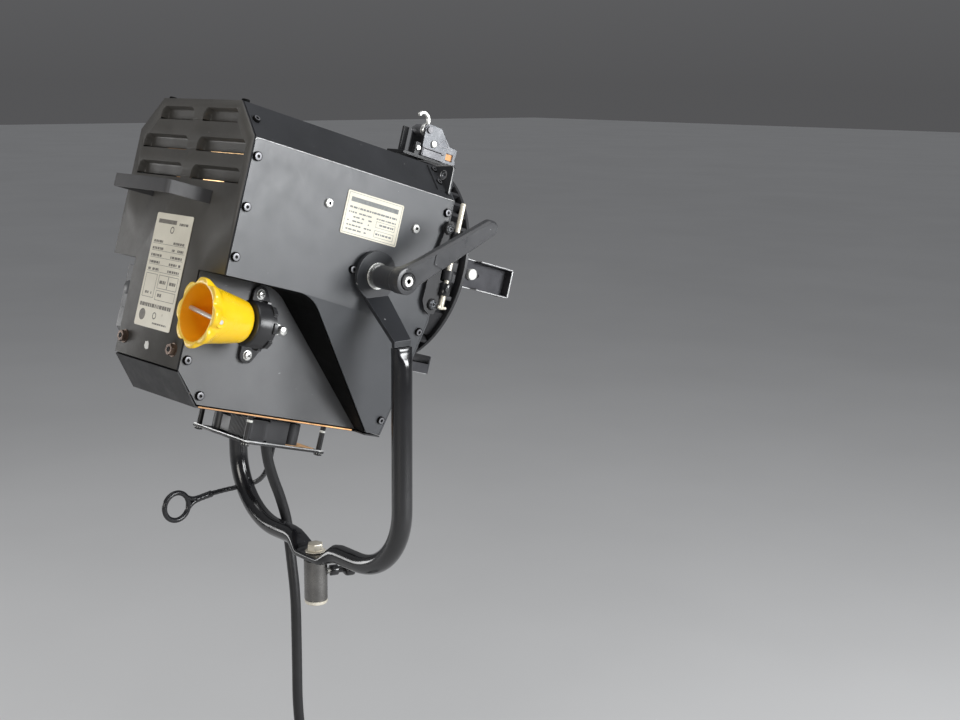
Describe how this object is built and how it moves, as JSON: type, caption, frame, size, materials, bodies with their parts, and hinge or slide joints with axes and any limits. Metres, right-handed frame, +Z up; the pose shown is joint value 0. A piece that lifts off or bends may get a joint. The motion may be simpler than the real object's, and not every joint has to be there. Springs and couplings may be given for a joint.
{
  "type": "fresnel spotlight",
  "caption": "Sheet-metal fresnel spotlight head tilted down in a tube yoke, with a finned lens door, rear focus cup, clamp lever, stand receiver, cable and safety rope.",
  "frame": {"origin": "centre of the receiver's open lower end, on the pan axis", "axes": "+Z up the pan axis, the beam points to -Y and 16.3 degrees down, +X to the beam's left side, away from the focus cup and clamp lever"},
  "size_m": [0.3867, 0.4386, 1.0428],
  "materials": {
    "painted_sheet": "satin dark grey powder coat",
    "black_paint": "glossy black enamel",
    "black_cast": "satin black on cast alloy",
    "zinc_steel": "bright zinc plate",
    "galvanised": "dull galvanised sheet",
    "receiver_steel": "turned steel",
    "yellow_plastic": "glossy yellow moulding",
    "black_plastic": "black moulding",
    "printed_plate": "ivory printed plate",
    "glass": "clear pressed glass",
    "reflector_metal": "polished aluminium",
    "ceramic": "pale ceramic",
    "cable_rubber": "black rubber sheath",
    "rope_black": "black sleeved wire rope"
  },
  "bodies": {
    "receiver_body": {"receiver": "receiver_steel", "yoke_bolt": "zinc_steel"},
    "yoke": {"yoke_tube": "black_paint", "yoke_plate_near": "black_paint", "yoke_plate_far": "black_paint", "tilt_washer": "zinc_steel", "mains_cable": "cable_rubber", "cable_coil": "cable_rubber", "mains_plug": "black_plastic", "safety_rope": "rope_black", "rope_eye": "rope_black"},
    "clamp": {"clamp_lever": "black_plastic", "lever_screw": "zinc_steel"},
    "head": {"top_wrap": "painted_sheet", "side_panel_near": "painted_sheet", "side_panel_far": "painted_sheet", "recess_panel_near": "painted_sheet", "recess_panel_far": "painted_sheet", "notch_lining_near": "painted_sheet", "notch_lining_far": "painted_sheet", "rear_plate": "painted_sheet", "bottom_tray": "painted_sheet", "front_frame": "painted_sheet", "rear_handle": "black_paint", "rating_plate": "printed_plate", "makers_plate": "printed_plate", "junction_box": "painted_sheet", "vent_plate": "black_paint", "vent_finned_block": "black_plastic", "vent_terminal_box": "black_plastic", "vent_capacitor": "black_plastic", "cable_gland": "black_plastic", "safety_anchor": "zinc_steel", "tilt_boss_near": "black_paint", "tilt_boss_far": "black_paint", "far_pivot_nut": "zinc_steel", "hinge_bracket": "black_paint", "hinge_rod": "zinc_steel", "focus_gearbox": "black_cast", "guide_rod_near": "galvanised", "guide_rod_far": "galvanised"},
    "focus_knob": {"focus_cup": "yellow_plastic", "cup_pin": "zinc_steel"},
    "cross_drive": {"cross_shaft": "galvanised"},
    "lead_drive": {"lead_screw": "galvanised"},
    "lamp_carriage": {"carriage": "black_cast", "lampholder": "ceramic", "lamp": "glass", "reflector": "reflector_metal"},
    "lens_door": {"door_ring": "black_cast", "fresnel_lens": "glass", "lens_clip_ring": "galvanised", "channel_near": "galvanised", "channel_far": "galvanised", "channel_bottom": "galvanised", "catch_base": "black_paint", "catch_bracket": "galvanised", "catch_pin": "zinc_steel"},
    "top_catch": {"catch_lever": "zinc_steel"},
    "locking_screw": {"lock_screw": "zinc_steel"}
  },
  "joints": [
    {"name": "yoke_pan", "type": "hinge", "parent": "receiver_body", "child": "yoke", "pos_m": [0, 0, 0.06], "axis": [0, 0, 1], "range_deg": [-170, 170]},
    {"name": "head_tilt", "type": "hinge", "parent": "yoke", "child": "head", "pos_m": [0, 0, 0.41], "axis": [1, 0, 0], "range_deg": [-75, 73], "deforming": ["mains_cable", "safety_rope"]},
    {"name": "clamp_lever_turn", "type": "hinge", "parent": "yoke", "child": "clamp", "pos_m": [-0.15, 0, 0.41], "axis": [1, 0, 0], "range_deg": [-60, 20]},
    {"name": "focus_turn", "type": "hinge", "parent": "head", "child": "focus_knob", "pos_m": [-0.104, 0.15545, 0.37367], "axis": [0, 0.9598, 0.2807], "range_deg": [-1261, 811]},
    {"name": "cross_shaft_turn", "type": "hinge", "parent": "head", "child": "cross_drive", "pos_m": [-0.06, 0.12953, 0.36609], "axis": [1, 0, 0], "range_deg": [-811, 1261]},
    {"name": "lead_screw_turn", "type": "hinge", "parent": "head", "child": "lead_drive", "pos_m": [-0.024, 0.02203, 0.33466], "axis": [0, 0.9598, 0.2807], "range_deg": [-1261, 811]},
    {"name": "carriage_slide", "type": "slide", "parent": "head", "child": "lamp_carriage", "axis": [0, 0.9598, 0.2807], "range_m": [-0.07, 0.045]},
    {"name": "door_swing", "type": "hinge", "parent": "head", "child": "lens_door", "pos_m": [-0.121, -0.10508, 0.40949], "axis": [0, 0.2807, -0.9598], "range_deg": [0, 55]},
    {"name": "catch_lift", "type": "hinge", "parent": "lens_door", "child": "top_catch", "pos_m": [0, -0.16733, 0.55965], "axis": [-1, 0, 0], "range_deg": [0, 35], "stiffness_Nm_per_rad": 0.2, "springref_deg": -28.65},
    {"name": "lock_screw_turn", "type": "hinge", "parent": "receiver_body", "child": "locking_screw", "pos_m": [0, 0, 0.038], "axis": [-0.3489, -0.9371, 0], "range_deg": [0, 720]}
  ],
  "couplings": [
    {"joint": "focus_turn", "follows": "carriage_slide", "rad_per_m": 314.16},
    {"joint": "cross_shaft_turn", "follows": "carriage_slide", "rad_per_m": -314.16},
    {"joint": "lead_screw_turn", "follows": "carriage_slide", "rad_per_m": 314.16}
  ]
}
